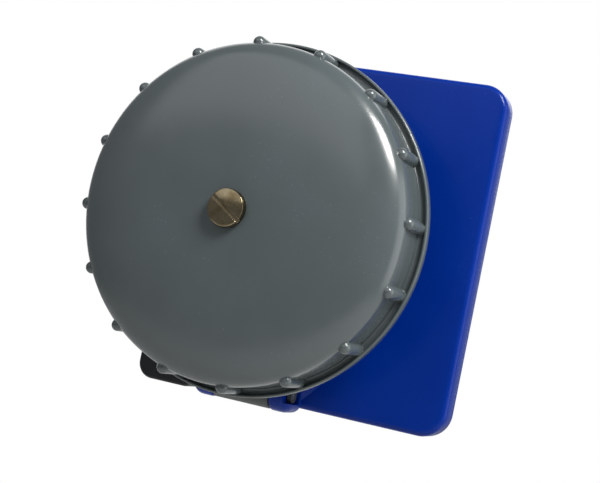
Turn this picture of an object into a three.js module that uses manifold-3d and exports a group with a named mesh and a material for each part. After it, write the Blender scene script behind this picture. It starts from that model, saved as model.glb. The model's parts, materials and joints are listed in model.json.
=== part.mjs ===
// Electric alarm bell: a ribbed gong over a solenoid striker, hinged at the foot to a wall plate.
// Millimetres. The wall is the plane Y = 0 and -Y points out of it; +Z is up; the gong turns about Y.
import * as THREE from "three";
import { mergeVertices } from "three/addons/utils/BufferGeometryUtils.js";
import Module from "manifold-3d";

const wasm = await Module();
wasm.setup();

// General
const gap = 0.3; // between pieces that touch
const fine = 48; // sides of a large round
const coarse = 12; // sides of a small round
const quarterTurn = Math.PI / 2;

// Wall plate: a shallow tray, open at the back
const plateLeft = -50;
const plateRight = 88;
const plateTop = 75.8;
const plateDepth = 12;
const plateCorner = 11;
const plateBevel = 2.5;
const plateWall = 3;
const plateFront = -plateDepth;
const plateMiddle = (plateLeft + plateRight) / 2;
const fixingInset = 14;
const coverThickness = 1.5;
const coverBack = -1.8;
const coverFront = coverBack - coverThickness;
const columnRadius = 10;
const grommetX = -22;
const grommetZ = -30;

// Hinge at the foot, its axis along X
const hingeY = -18.5;
const hingeZ = -71;
const knuckleRadius = 7.5;
const knuckleInner = 13.6;
const knuckleOuter = 23.8;
const slotMiddle = 21.55;
const slotWidth = 2.7;
const slotFloor = -74.1;
const barrelRadius = 7.2;
const padRise = 2.5;
const padSlope = 4;
const pinRadius = 1.5;
const bushRadius = 3;
const bushLength = 7;

// Terminal box beside the hinge
const boxLeft = -50.4;
const boxRight = knuckleOuter * -1 - gap;
const boxTop = -50;
const boxBottom = -76.8;
const boxFront = -25;
const boxWall = 2;
const boxCorner = 7;

// Gong: h is the height in front of the flange's back face
const gongPlane = -43;
const gongRadius = 75;
const gongWall = 71;
const gongInside = 67.5;
const gongRise = 31.5;
const gongSkin = 3.5;
const shoulderHeight = 17;
const flangeThickness = 2.5;
const lipHeight = 4;
const lipWidth = 1.4;
const ribCount = 16;
const ribRadius = 2.7;
const ribMiddle = 71.2;
const ribFront = 18.4;
const ribPhase = (6 * Math.PI) / 180;
const gongHole = 4.2;
const screwHeadRadius = 8;
const screwHeadHeight = 3.4;
const screwSlotAngle = (34 * Math.PI) / 180;

// Mechanism housing: a drum behind the gong, open in front
const drumRadius = 52;
const drumWall = 2.5;
const drumFront = -2;
const drumBack = -27;
const drumFloor = drumBack + drumWall;
const postRadius = 5;
const postTop = 26;

// Solenoid striker, its axis along Z
const strikerHeight = 6;
const coilRadius = 11;
const coilBottom = 15;
const coilTop = 41;
const frameThickness = 2;
const frameBase = -7;
const plungerRadius = 3.6;
const rodRadius = 1.6;
const strokeRoom = 4;
const restingTip = gongInside - strokeRoom;
const tipRadius = 3.4;

// Finishes
const finishes = {
  platePaint: { color: 0x00308a, roughness: 0.28, metalness: 0.0 },
  gongPaint: { color: 0x4f5858, roughness: 0.35, metalness: 0.1 },
  housingGrey: { color: 0x5a6064, roughness: 0.5, metalness: 0.0 },
  blackMoulding: { color: 0x14161a, roughness: 0.45, metalness: 0.0 },
  nickel: { color: 0x8c8677, roughness: 0.2, metalness: 1.0 },
  zincSteel: { color: 0xa9adb0, roughness: 0.35, metalness: 1.0 },
  brass: { color: 0xb08d45, roughness: 0.3, metalness: 1.0 },
  softIron: { color: 0x7b7d80, roughness: 0.4, metalness: 1.0 },
  copperWinding: { color: 0x9a4a1c, roughness: 0.4, metalness: 0.6 },
  naturalNylon: { color: 0xd9d5c4, roughness: 0.5, metalness: 0.0 },
  rubber: { color: 0x1c1c1c, roughness: 0.85, metalness: 0.0 },
  boardGreen: { color: 0x1f5a34, roughness: 0.5, metalness: 0.0 },
  capacitorSleeve: { color: 0x22304f, roughness: 0.4, metalness: 0.0 },
  terminalWhite: { color: 0xd8d8d2, roughness: 0.5, metalness: 0.0 },
};

// A closed solid from a three.js geometry, for joining and cutting.
function solidOf(geometry) {
  const bare = geometry.index ? geometry.toNonIndexed() : geometry.clone();
  bare.deleteAttribute("normal");
  bare.deleteAttribute("uv");
  const merged = mergeVertices(bare, 1e-4);
  return new wasm.Manifold(
    new wasm.Mesh({
      numProp: 3,
      vertProperties: merged.attributes.position.array,
      triVerts: new Uint32Array(merged.index.array),
    }),
  );
}

function geometryOf(solid) {
  const made = solid.getMesh();
  const geometry = new THREE.BufferGeometry();
  geometry.setAttribute("position", new THREE.BufferAttribute(made.vertProperties, made.numProp));
  geometry.setIndex(new THREE.BufferAttribute(made.triVerts, 1));
  geometry.computeVertexNormals();
  return geometry;
}

function join(first, ...others) {
  return geometryOf(others.reduce((sum, other) => sum.add(solidOf(other)), solidOf(first)));
}

function cut(first, ...others) {
  return geometryOf(others.reduce((rest, other) => rest.subtract(solidOf(other)), solidOf(first)));
}

// A box between two corners.
function block(x0, x1, y0, y1, z0, z1) {
  const geometry = new THREE.BoxGeometry(x1 - x0, y1 - y0, z1 - z0);
  return geometry.translate((x0 + x1) / 2, (y0 + y1) / 2, (z0 + z1) / 2);
}

// A round bar from start to end along X, Y or Z, through the other two coordinates of centre.
function bar(along, radius, start, end, centre = [0, 0, 0], sides = coarse) {
  const geometry = new THREE.CylinderGeometry(radius, radius, end - start, sides);
  const middle = new THREE.Vector3(...centre);
  if (along === "x") geometry.rotateZ(quarterTurn);
  if (along === "z") geometry.rotateX(quarterTurn);
  middle[along] = (start + end) / 2;
  return geometry.translate(middle.x, middle.y, middle.z);
}

function tube(along, outer, inner, start, end, centre = [0, 0, 0], sides = coarse) {
  const body = bar(along, outer, start, end, centre, sides);
  return cut(body, bar(along, inner, start - 1, end + 1, centre, sides));
}

// A solid turned about the Y axis from [radius, y] points that start and end on the axis.
function turned(points, sides = fine) {
  return new THREE.LatheGeometry(points.map(([radius, y]) => new THREE.Vector2(radius, y)), sides);
}

// A rectangle in X and Z with its own radius at each corner, as a shape in X and Z.
function roundedOutline(x0, x1, z0, z1, lowLeft, lowRight, highRight, highLeft) {
  const shape = new THREE.Shape();
  shape.moveTo(x0 + lowLeft, z0);
  shape.lineTo(x1 - lowRight, z0);
  shape.absarc(x1 - lowRight, z0 + lowRight, lowRight, -quarterTurn, 0);
  shape.absarc(x1 - highRight, z1 - highRight, highRight, 0, quarterTurn);
  shape.absarc(x0 + highLeft, z1 - highLeft, highLeft, quarterTurn, 2 * quarterTurn);
  shape.absarc(x0 + lowLeft, z0 + lowLeft, lowLeft, 2 * quarterTurn, 3 * quarterTurn);
  return shape;
}

// An outline in X and Z given thickness along Y, from back to front (the lower Y).
function slab(shape, front, back, curveSegments = 5) {
  const options = { depth: back - front, bevelEnabled: false, curveSegments };
  const geometry = new THREE.ExtrudeGeometry(shape, options);
  return geometry.rotateX(quarterTurn).translate(0, back, 0);
}

function evenSlab(x0, x1, z0, z1, radius, front, back) {
  return slab(roundedOutline(x0, x1, z0, z1, radius, radius, radius, radius), front, back);
}

function piece(name, geometry, finish, parent, place = [0, 0, 0]) {
  const mesh = new THREE.Mesh(geometry, new THREE.MeshStandardMaterial(finishes[finish]));
  mesh.name = name;
  mesh.position.set(...place);
  parent.add(mesh);
  return mesh;
}

// A slotted or plain screw whose head faces -Y, with the underside of its head at Y = 0.
function slottedScrew(headRadius, headHeight, shankRadius, shankLength, slotWidthHere = 1) {
  const body = turned(
    [
      [0, -headHeight],
      [headRadius - 0.4, -headHeight],
      [headRadius, -headHeight + 0.4],
      [headRadius, 0],
      [shankRadius, 0],
      [shankRadius, shankLength],
      [0, shankLength],
    ],
    coarse,
  );
  const half = slotWidthHere / 2;
  return cut(body, block(-headRadius - 1, headRadius + 1, -headHeight - 1, -headHeight * 0.5, -half, half));
}

const object = new THREE.Group();
const base = new THREE.Group();
const mechanism = new THREE.Group();
object.add(base, mechanism);

// The knuckles stand on the plate's foot, each with a notch in its outer end for an ear.
function knuckle(side) {
  const inner = side * knuckleInner;
  const outer = side * knuckleOuter;
  const left = Math.min(inner, outer);
  const right = Math.max(inner, outer);
  const body = join(
    bar("x", knuckleRadius, left, right, [0, hingeY, hingeZ], 24),
    block(left, right, hingeY, plateFront + 1, hingeZ - knuckleRadius, hingeZ + knuckleRadius),
  );
  const notchStart = side * (slotMiddle - slotWidth / 2);
  const notchEnd = outer + side;
  const notch = block(
    Math.min(notchStart, notchEnd),
    Math.max(notchStart, notchEnd),
    hingeY - knuckleRadius - 1,
    plateFront - 2,
    slotFloor,
    hingeZ + knuckleRadius + 1,
  );
  const pinHole = bar("x", pinRadius + gap, -knuckleOuter - 1, knuckleOuter - 1.5, [0, hingeY, hingeZ]);
  return cut(body, notch, pinHole);
}

// A web runs up the plate from the foot of the knuckles, and its sides slope down to the plate.
function hingePad() {
  const foot = plateBevel - plateTop;
  const left = -22;
  const top = -38;
  const shape = new THREE.Shape();
  shape.moveTo(left, foot);
  shape.lineTo(22.8, foot);
  shape.lineTo(30.5, -64.5);
  shape.lineTo(40, -50);
  shape.lineTo(40, top);
  shape.lineTo(left, top);
  const buried = 0.2;
  const options = {
    depth: buried,
    bevelThickness: padRise,
    bevelSize: padSlope,
    bevelOffset: -padSlope,
    bevelSegments: 1,
  };
  const web = new THREE.ExtrudeGeometry(shape, options);
  return web.rotateX(quarterTurn).translate(0, plateFront + buried, 0);
}

function fixingPlaces() {
  const places = [];
  for (const x of [plateLeft + fixingInset, plateRight - fixingInset])
    for (const z of [-plateTop + fixingInset, plateTop - fixingInset]) places.push([x, z]);
  return places;
}

function coverScrewPlaces() {
  const sideInset = 7.5;
  return [
    [plateMiddle, plateTop - sideInset],
    [plateMiddle, sideInset - plateTop],
    [plateLeft + sideInset, 0],
    [plateRight - sideInset, 0],
  ];
}

function buildBackplate() {
  const outline = roundedOutline(
    plateLeft + plateBevel,
    plateRight - plateBevel,
    -plateTop + plateBevel,
    plateTop - plateBevel,
    ...Array(4).fill(plateCorner - plateBevel),
  );
  const front = new THREE.ExtrudeGeometry(outline, {
    depth: 1,
    bevelThickness: plateBevel,
    bevelSize: plateBevel,
    bevelSegments: 2,
    curveSegments: 5,
  });
  front.rotateX(quarterTurn).translate(0, plateFront + plateBevel + 1, 0);
  const rim = evenSlab(plateLeft, plateRight, -plateTop, plateTop, plateCorner, plateFront + plateBevel, 0);
  const hollow = evenSlab(
    plateLeft + plateWall,
    plateRight - plateWall,
    plateWall - plateTop,
    plateTop - plateWall,
    plateCorner - plateWall,
    plateFront + plateWall,
    1,
  );
  const tray = cut(join(front, rim), hollow);
  const bossTop = plateFront + 1;
  const additions = [knuckle(-1), knuckle(1), hingePad(), bar("y", columnRadius, bossTop, 0, [0, 0, 0], 24)];
  const barrelRoom = knuckleInner + 0.2;
  const holes = [
    bar("y", 5, plateFront - 2, plateFront + plateWall + 1, [-39, 0, -63]),
    bar("x", barrelRadius + 0.6, -barrelRoom, barrelRoom, [0, hingeY, hingeZ], 24),
  ];
  for (const [x, z] of fixingPlaces()) {
    additions.push(bar("y", 6.2, bossTop, 0, [x, 0, z]));
    holes.push(bar("y", 4.5, -8.5, 1, [x, 0, z]));
  }
  for (const [x, z] of coverScrewPlaces()) {
    additions.push(bar("y", 4, bossTop, coverFront - gap, [x, 0, z]));
    holes.push(bar("y", 1.8, -9, 1, [x, 0, z]));
  }
  piece("backplate", cut(join(tray, ...additions), ...holes), "platePaint", base);
}

function buildRearCover() {
  const inset = plateWall + gap;
  const sheet = evenSlab(
    plateLeft + inset,
    plateRight - inset,
    inset - plateTop,
    plateTop - inset,
    plateCorner - inset,
    coverFront,
    coverBack,
  );
  const hole = (radius, [x, z]) => bar("y", radius, coverFront - 1, 1, [x, 0, z], 24);
  const holes = [hole(6.3, [grommetX, grommetZ]), hole(columnRadius + gap, [0, 0])];
  for (const place of fixingPlaces()) holes.push(hole(6.6, place));
  for (const place of coverScrewPlaces()) holes.push(hole(1.9, place));
  piece("rear_cover", cut(sheet, ...holes), "zincSteel", base);

  const grommetProfile = [
    [0, coverFront - 2.2],
    [7.5, coverFront - 2.2],
    [7.5, coverFront - gap],
    [5.9, coverFront - gap],
    [5.9, -0.4],
    [0, -0.4],
  ];
  const grommet = cut(turned(grommetProfile, coarse), bar("y", 4, -7, 1));
  piece("cable_grommet", grommet, "rubber", base, [grommetX, 0, grommetZ]);
}

function buildCoverFixings() {
  fixingPlaces().forEach(([x, z], index) => {
    const insert = tube("y", 4.2, 2.1, -8, 0);
    piece(`fixing_insert_${index + 1}`, insert, "brass", base, [x, 0, z]);
  });
  coverScrewPlaces().forEach(([x, z], index) => {
    const screw = slottedScrew(3.2, 1.3, 1.5, 6, 0.8).rotateZ(2 * quarterTurn);
    piece(`cover_screw_${index + 1}`, screw, "zincSteel", base, [x, coverBack + gap, z]);
  });
}

function buildHinge() {
  const pin = bar("x", pinRadius, -knuckleOuter, knuckleOuter - 1.5, [0, hingeY, hingeZ]);
  piece("hinge_pin", pin, "zincSteel", base);
  for (const [side, name] of [
    [-1, "left"],
    [1, "right"],
  ]) {
    const outer = side * (knuckleInner - gap - 0.2);
    const inner = outer - side * bushLength;
    const [start, end] = [Math.min(outer, inner), Math.max(outer, inner)];
    const bush = tube("x", bushRadius, pinRadius + 0.1, start, end, [0, hingeY, hingeZ]);
    piece(`hinge_bush_${name}`, bush, "naturalNylon", mechanism);
  }
}

function buildTerminalBox() {
  const coverY = boxFront + boxWall;
  const outline = (inset) =>
    roundedOutline(
      boxLeft + inset,
      boxRight - inset,
      boxBottom + inset,
      boxTop - inset,
      boxCorner - inset,
      2.5 - inset,
      2.5 - inset,
      2.5 - inset,
    );
  const wallRing = cut(
    slab(outline(0), coverY + gap, plateFront - gap),
    slab(outline(boxWall), coverY - 1, plateFront + 1),
  );
  const screwBoss = (x) => bar("y", 2.6, coverY + gap, plateFront - gap, [x, 0, boxTop - 3.6]);
  const screwHole = (x) => bar("y", 1.4, coverY - 3, plateFront - 2, [x, 0, boxTop - 3.6]);
  const screwXs = [boxLeft + 3.6, boxRight - 3.6];
  const shell = cut(join(wallRing, ...screwXs.map(screwBoss)), ...screwXs.map(screwHole));
  piece("terminal_box", shell, "blackMoulding", base);

  const lid = cut(slab(outline(0), boxFront, coverY), ...screwXs.map(screwHole));
  piece("terminal_box_lid", lid, "blackMoulding", base);
  screwXs.forEach((x, index) => {
    const screw = slottedScrew(2.3, 1.3, 1.1, 8, 0.7);
    piece(`lid_screw_${index + 1}`, screw, "zincSteel", base, [x, boxFront - gap, boxTop - 3.6]);
  });

  const terminals = new THREE.Group();
  terminals.position.set((boxLeft + boxRight) / 2, plateFront - gap, -65);
  base.add(terminals);
  const pitch = 5.6;
  const places = [-pitch, 0, pitch];
  const body = cut(
    block(-8.6, 8.6, -7, 0, -4, 4),
    ...places.map((x) => bar("y", 1.9, -8, -3, [x, 0, 0])),
    ...places.map((x) => bar("z", 1.3, -5, 5, [x, -2, 0], 8)),
  );
  piece("terminal_block", body, "terminalWhite", terminals);
  places.forEach((x, index) => {
    const screw = slottedScrew(1.6, 1.4, 0.9, 1, 0.6);
    piece(`terminal_screw_${index + 1}`, screw, "brass", terminals, [x, -4.4, 0]);
  });
}

// A magnet on the plate holds a steel keeper on the drum's back, so that the bell stays shut.
function buildMagnetCatch() {
  const magnetZ = 40;
  const keeperBack = depth(drumBack) + 1.3;
  const magnet = block(-9, 9, keeperBack + gap, plateFront - gap, magnetZ - 4, magnetZ + 4);
  piece("catch_magnet", magnet, "blackMoulding", base);
  const keeper = block(-7, 7, depth(drumBack) + gap, keeperBack, magnetZ - 3, magnetZ + 3);
  piece("catch_keeper", keeper, "zincSteel", mechanism);
}

// The Y of a height in front of the gong's flange.
function depth(height) {
  return gongPlane - height;
}

// The outside of the gong's dome at a radius: flat in the middle, falling ever faster to the wall.
function domeHeight(radius, wall, foot, rise) {
  return foot + (rise - foot) * (1 - (radius / wall) ** 3) ** 0.35;
}

function domePoints(wall, foot, rise, steps) {
  const points = [];
  for (let step = 0; step <= steps; step += 1) {
    const radius = wall * Math.sin((step / steps) * quarterTurn);
    points.push([radius, domeHeight(Math.min(radius, wall), wall, foot, rise)]);
  }
  return points;
}

function buildGong() {
  const outside = [
    [0, 0],
    [gongRadius, 0],
    [gongRadius, lipHeight - 0.5],
    [gongRadius - lipWidth / 2, lipHeight],
    [gongRadius - lipWidth, flangeThickness],
    [gongWall, flangeThickness],
    ...domePoints(gongWall, shoulderHeight, gongRise, 9).reverse(),
  ];
  const inside = [
    [0, -1],
    [gongInside, -1],
    ...domePoints(gongInside, shoulderHeight - gongSkin, gongRise - gongSkin, 7).reverse(),
  ];
  const ribs = [];
  for (let rib = 0; rib < ribCount; rib += 1) {
    const turn = ribPhase + (rib / ribCount) * 2 * Math.PI;
    const x = ribMiddle * Math.cos(turn);
    const z = -ribMiddle * Math.sin(turn);
    ribs.push(bar("y", ribRadius, 1, ribFront, [x, 0, z], 8));
    ribs.push(new THREE.SphereGeometry(ribRadius, 8, 6).translate(x, ribFront, z));
  }
  const whole = cut(join(turned(outside), ...ribs), turned(inside), bar("y", gongHole, 0, gongRise + 5));
  const gong = piece("gong", whole, "gongPaint", mechanism, [0, gongPlane, 0]);
  gong.rotation.x = 2 * quarterTurn;
}

// The drum carries the hinge barrel and the two ears below it, and pillars for what it holds.
function buildHousing() {
  const outside = bar("y", drumRadius, depth(drumFront), depth(drumBack), [0, 0, 0], fine);
  const hollow = bar("y", drumRadius - drumWall, depth(drumFront + 1), depth(drumFloor), [0, 0, 0], fine);
  const drum = cut(outside, hollow);
  const floorY = depth(drumFloor) + 1;
  const barrelEnd = knuckleInner - 0.4;
  const arm = block(-barrelEnd, barrelEnd, hingeY - 5, depth(drumBack), hingeZ, 1 - drumRadius);
  const barrel = bar("x", barrelRadius, -barrelEnd, barrelEnd, [0, hingeY, hingeZ], 24);
  const additions = [arm, barrel, bar("y", 9, depth(-18), floorY)];
  const earRadius = 2.8;
  const earHalf = slotWidth / 2 - gap;
  for (const side of [-1, 1]) {
    const middle = side * slotMiddle;
    const centre = [0, hingeY, hingeZ];
    additions.push(bar("x", earRadius, middle - earHalf, middle + earHalf, centre));
    additions.push(
      block(middle - earHalf, middle + earHalf, hingeY - earRadius, depth(drumBack), hingeZ, -drumRadius + 7),
    );
  }
  for (const x of [-7, 7]) for (const z of [20, 36]) additions.push(bar("y", 3.2, frameFootY(), floorY, [x, 0, z]));
  additions.push(block(16, 32, depth(-12), floorY, 2, 14));
  for (const [x, z] of boardScrewPlaces()) additions.push(bar("y", 3, boardY() + gap, floorY, [x, 0, z]));
  const holes = [
    bar("y", postRadius - 1.5, depth(-10), depth(drumBack) + 1),
    bar("x", bushRadius + 0.1, -barrelEnd - 1, barrelEnd + 1, [0, hingeY, hingeZ]),
    bar("x", pinRadius + gap, -knuckleOuter, knuckleOuter, [0, hingeY, hingeZ]),
    bar("y", 1.3, depth(-11), depth(-20), [24, 0, 8]),
    bar("y", 5, depth(drumFloor) - 2, depth(drumBack) + 1, [-30, 0, -28]),
  ];
  for (const [x, z] of boardScrewPlaces()) holes.push(bar("y", 1.2, boardY() - 1, floorY - 2, [x, 0, z]));
  for (const z of [20, 36]) holes.push(bar("y", 1.3, frameFootY() - 1, frameFootY() + 9, [7 * frameSide(z), 0, z]));
  piece("housing", cut(join(drum, ...additions), ...holes), "housingGrey", mechanism);
}

function frameFootY() {
  return depth(frameBase) + gap;
}

// The frame's two screws stand diagonally, one at each lower and upper corner of its base.
function frameSide(z) {
  return z < 30 ? -1 : 1;
}

function boardY() {
  return depth(-18);
}

function boardScrewPlaces() {
  return [
    [-14, -20],
    [14, -38],
  ];
}

// A shouldered post stands in the drum and carries the gong on a fibre washer.
function buildGongPost() {
  const washerThickness = 1.3;
  const bottom = depth(-18) - gap;
  const post = turned(
    [
      [0, depth(postTop)],
      [postRadius, depth(postTop)],
      [postRadius, depth(4)],
      [postRadius + 2, depth(2)],
      [postRadius + 2, bottom],
      [postRadius - 1.8, bottom],
      [postRadius - 1.8, depth(drumBack) + 0.6],
      [0, depth(drumBack) + 0.6],
    ],
    24,
  );
  piece("gong_post", cut(post, bar("y", 4.1, depth(postTop + 1), depth(8))), "zincSteel", mechanism);
  const washerBack = depth(postTop) - gap;
  piece("gong_washer", tube("y", 9, 4.3, washerBack - washerThickness, washerBack), "rubber", mechanism);

  const headBack = depth(gongRise) - gap;
  const shankLength = 18;
  const head = turned([
    [0, headBack - screwHeadHeight],
    [screwHeadRadius - 0.8, headBack - screwHeadHeight],
    [screwHeadRadius, headBack - screwHeadHeight + 0.8],
    [screwHeadRadius, headBack],
    [3.8, headBack],
    [3.8, headBack + shankLength],
    [0, headBack + shankLength],
  ]);
  const slot = block(-12, 12, headBack - screwHeadHeight - 1, headBack - 2.1, -0.8, 0.8);
  const screw = piece("gong_screw", cut(head, slot), "nickel", mechanism);
  screw.rotation.y = screwSlotAngle;
}

// The solenoid: a C-shaped iron frame, a bobbin and its winding on a brass tube, and a stop pad below.
function buildSolenoid() {
  const axisY = depth(strikerHeight);
  const solenoid = new THREE.Group();
  solenoid.position.set(0, axisY, 0);
  mechanism.add(solenoid);
  const baseY = strikerHeight - frameBase;
  const half = 12;
  const plate = (z) => block(-half, half, -coilRadius - 0.5, baseY, z, z + frameThickness);
  const tubeOuter = plungerRadius + 0.9;
  const lowPlate = coilBottom - gap - frameThickness;
  const highPlate = coilTop + gap;
  const frame = cut(
    join(
      block(-half, half, baseY - frameThickness, baseY, lowPlate, highPlate + frameThickness),
      plate(lowPlate),
      plate(highPlate),
    ),
    bar("z", tubeOuter + gap, lowPlate - 1, lowPlate + 3),
    bar("z", rodRadius + 0.9, highPlate - 1, highPlate + 3),
    ...[20, 36].map((z) => bar("y", 1.7, baseY - 4, baseY + 1, [7 * frameSide(z), 0, z])),
  );
  piece("solenoid_frame", frame, "softIron", solenoid);
  const flange = 1.6;
  const boreRadius = tubeOuter + gap;
  const spool = cut(
    join(
      bar("z", boreRadius + 1.2, coilBottom, coilTop, [0, 0, 0], 24),
      bar("z", coilRadius, coilBottom, coilBottom + flange, [0, 0, 0], 24),
      bar("z", coilRadius, coilTop - flange, coilTop, [0, 0, 0], 24),
    ),
    bar("z", boreRadius, coilBottom - 1, coilTop + 1, [0, 0, 0], 24),
  );
  piece("bobbin", spool, "blackMoulding", solenoid);
  const windingStart = coilBottom + flange + gap;
  const windingEnd = coilTop - flange - gap;
  const winding = tube("z", coilRadius - 0.9, boreRadius + 1.5, windingStart, windingEnd, [0, 0, 0], 24);
  piece("winding", winding, "copperWinding", solenoid);
  const guide = tube("z", tubeOuter, plungerRadius + 0.2, lowPlate - 0.5, coilTop, [0, 0, 0], 24);
  piece("guide_tube", guide, "brass", solenoid);
  [20, 36].forEach((z, index) => {
    const screw = slottedScrew(2.7, 1.6, 1.3, 8, 0.7);
    const seat = depth(frameBase) - frameThickness - gap;
    piece(`frame_screw_${index + 1}`, screw, "zincSteel", mechanism, [7 * frameSide(z), seat, z]);
  });
}

// The plunger, its rod and tip slide in the tube; a spring outside the frame draws them back.
function buildStriker() {
  const striker = new THREE.Group();
  striker.position.set(0, depth(strikerHeight), 0);
  mechanism.add(striker);
  const plungerBottom = 8.8;
  const plungerTop = coilTop - strokeRoom - 1;
  piece("plunger", bar("z", plungerRadius, plungerBottom, plungerTop, [0, 0, 0], 24), "softIron", striker);
  const tipLength = 7;
  const tipBottom = restingTip - tipLength;
  const rod = bar("z", rodRadius, plungerTop + gap, tipBottom - gap);
  piece("striker_rod", rod, "zincSteel", striker);
  const tip = turned(
    [
      [0, 0],
      [tipRadius, 0],
      [tipRadius, tipLength - 2],
      [tipRadius - 1.2, tipLength - 0.4],
      [0, tipLength],
    ],
    24,
  );
  tip.rotateX(quarterTurn);
  piece("striker_tip", tip, "naturalNylon", striker, [0, 0, tipBottom]);
  const collarTop = tipBottom - gap;
  piece("spring_collar", tube("z", 3, rodRadius + gap, collarTop - 1.2, collarTop), "zincSteel", striker);
  const springLow = coilTop + frameThickness + 2 * gap;
  const spring = tube("z", 2.9, rodRadius + gap, springLow, collarTop - 1.5);
  piece("return_spring", spring, "zincSteel", striker);
}

// The interrupter: a leaf under the plunger's tail, its block, and an adjusting screw with a lock nut.
function buildContacts() {
  const contacts = new THREE.Group();
  contacts.position.set(0, depth(strikerHeight), 0);
  mechanism.add(contacts);
  const blockHeight = strikerHeight + 12;
  const leafZ = 8.2;
  const screwX = 12.5;
  const insulator = join(
    block(18, 30, -3, blockHeight - gap, 3, 7.5),
    block(18, 30, 4, blockHeight - gap, 7, 13),
  );
  const blockScrewHole = bar("y", 1.5, 2, blockHeight + 1, [24, 0, 10.2]);
  piece("contact_block", cut(insulator, blockScrewHole), "blackMoulding", contacts);
  const leaf = join(
    block(-2.5, 26, -2.2, 2.2, leafZ - 0.3, leafZ + 0.3),
    bar("z", 1.6, leafZ - 0.8, leafZ, [screwX, 0, 0]),
  );
  piece("contact_leaf", leaf, "brass", contacts);
  const bracket = cut(
    join(block(9.5, 17.6, -3, 3, -2.5, -0.5), block(16, 17.6, -3, 8, -2.5, 6), block(16, 30, -3, 3, -2.5, -0.5)),
    bar("z", 1.5 + gap, -4, 1, [screwX, 0, 0]),
  );
  piece("contact_bracket", bracket, "brass", contacts);
  const screw = cut(
    join(bar("z", 1.5, -6, leafZ - 0.8 - gap, [screwX, 0, 0]), bar("z", 2.6, -8.2, -5.8, [screwX, 0, 0])),
    block(screwX - 3, screwX + 3, -0.4, 0.4, -9, -7.3),
  );
  piece("contact_screw", screw, "brass", contacts);
  const nut = cut(
    bar("z", 3, -4.9, -2.5 - gap, [screwX, 0, 0], 6),
    bar("z", 1.5 + gap, -6, -1, [screwX, 0, 0]),
  );
  piece("lock_nut", nut, "zincSteel", contacts);
}

// A suppression board on the drum's floor, with a rectifier and a capacitor.
function buildBoard() {
  const front = boardY() - 1.5;
  const board = cut(
    block(-18, 18, front, boardY(), -42, -16),
    ...boardScrewPlaces().map(([x, z]) => bar("y", 1.5, front - 1, boardY() + 1, [x, 0, z])),
  );
  piece("suppressor_board", board, "boardGreen", mechanism);
  boardScrewPlaces().forEach(([x, z], index) => {
    const screw = slottedScrew(2.4, 1.4, 1, 4, 0.6);
    piece(`board_screw_${index + 1}`, screw, "zincSteel", mechanism, [x, front - gap, z]);
  });
  piece("rectifier", block(-14, -5, front - 6.3, front - gap, -36, -27), "blackMoulding", mechanism);
  const capacitorY = front - gap - 5;
  const capacitor = bar("x", 5, -9, 10, [0, capacitorY, -22], 24);
  piece("capacitor", capacitor.translate(4, 0, 0), "capacitorSleeve", mechanism);
}

buildBackplate();
buildRearCover();
buildCoverFixings();
buildHinge();
buildTerminalBox();
buildMagnetCatch();
buildHousing();
buildGongPost();
buildGong();
buildSolenoid();
buildStriker();
buildContacts();
buildBoard();

export default object;
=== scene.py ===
import json
from math import cos, pi, radians, sin

import bpy
from mathutils import Matrix, Vector


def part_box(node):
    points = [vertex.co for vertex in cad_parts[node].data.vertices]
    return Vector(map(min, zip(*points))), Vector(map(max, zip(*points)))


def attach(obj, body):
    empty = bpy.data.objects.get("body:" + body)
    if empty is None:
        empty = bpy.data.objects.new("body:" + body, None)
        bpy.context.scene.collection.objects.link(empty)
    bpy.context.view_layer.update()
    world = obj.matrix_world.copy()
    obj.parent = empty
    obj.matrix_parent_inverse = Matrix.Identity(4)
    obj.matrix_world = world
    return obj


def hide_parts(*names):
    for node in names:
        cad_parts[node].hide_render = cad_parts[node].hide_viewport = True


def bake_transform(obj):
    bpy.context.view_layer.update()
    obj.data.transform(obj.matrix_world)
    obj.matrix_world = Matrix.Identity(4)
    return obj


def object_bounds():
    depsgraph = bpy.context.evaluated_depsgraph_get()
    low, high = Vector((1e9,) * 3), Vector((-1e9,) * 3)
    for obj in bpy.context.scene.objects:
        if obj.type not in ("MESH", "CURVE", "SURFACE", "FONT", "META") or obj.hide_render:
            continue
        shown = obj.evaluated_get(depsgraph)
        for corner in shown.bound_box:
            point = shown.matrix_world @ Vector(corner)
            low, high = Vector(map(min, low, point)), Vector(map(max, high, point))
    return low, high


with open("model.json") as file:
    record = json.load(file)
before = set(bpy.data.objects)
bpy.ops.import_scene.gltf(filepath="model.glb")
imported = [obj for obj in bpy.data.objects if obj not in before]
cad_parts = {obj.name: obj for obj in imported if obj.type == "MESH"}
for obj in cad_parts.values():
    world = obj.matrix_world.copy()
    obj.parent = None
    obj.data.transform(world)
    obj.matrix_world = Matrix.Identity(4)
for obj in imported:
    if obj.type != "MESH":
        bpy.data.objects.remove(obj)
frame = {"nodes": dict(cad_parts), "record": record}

mm = 0.001
cadLow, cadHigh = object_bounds()
print("frame loaded:", len(frame["nodes"]), "nodes")


def cadBox(node):
    # the two corners of a CAD node, in mm
    low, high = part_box(node)
    return low / mm, high / mm


def cadMiddle(node):
    # its middle in mm, cleared of rounding dust
    low, high = cadBox(node)
    return Vector([round(value, 3) for value in (low + high) / 2])


def deselectAll():
    if bpy.context.object and bpy.context.object.mode != "OBJECT":
        bpy.ops.object.mode_set(mode="OBJECT")
    bpy.ops.object.select_all(action="DESELECT")


def named(name):
    piece = bpy.context.object
    piece.name = name
    piece.data.name = name
    return piece


def only(piece):
    deselectAll()
    piece.select_set(True)
    bpy.context.view_layer.objects.active = piece


def applyPlace(piece):
    only(piece)
    bpy.ops.object.transform_apply(location=True, rotation=True, scale=True)
    return piece


def modify(piece, kind, **settings):
    # adds a modifier, sets it and applies it at once
    only(piece)
    modifier = piece.modifiers.new(kind.title(), kind)
    for key, value in settings.items():
        setattr(modifier, key, value)
    bpy.ops.object.modifier_apply(modifier=modifier.name)
    return piece


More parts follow.
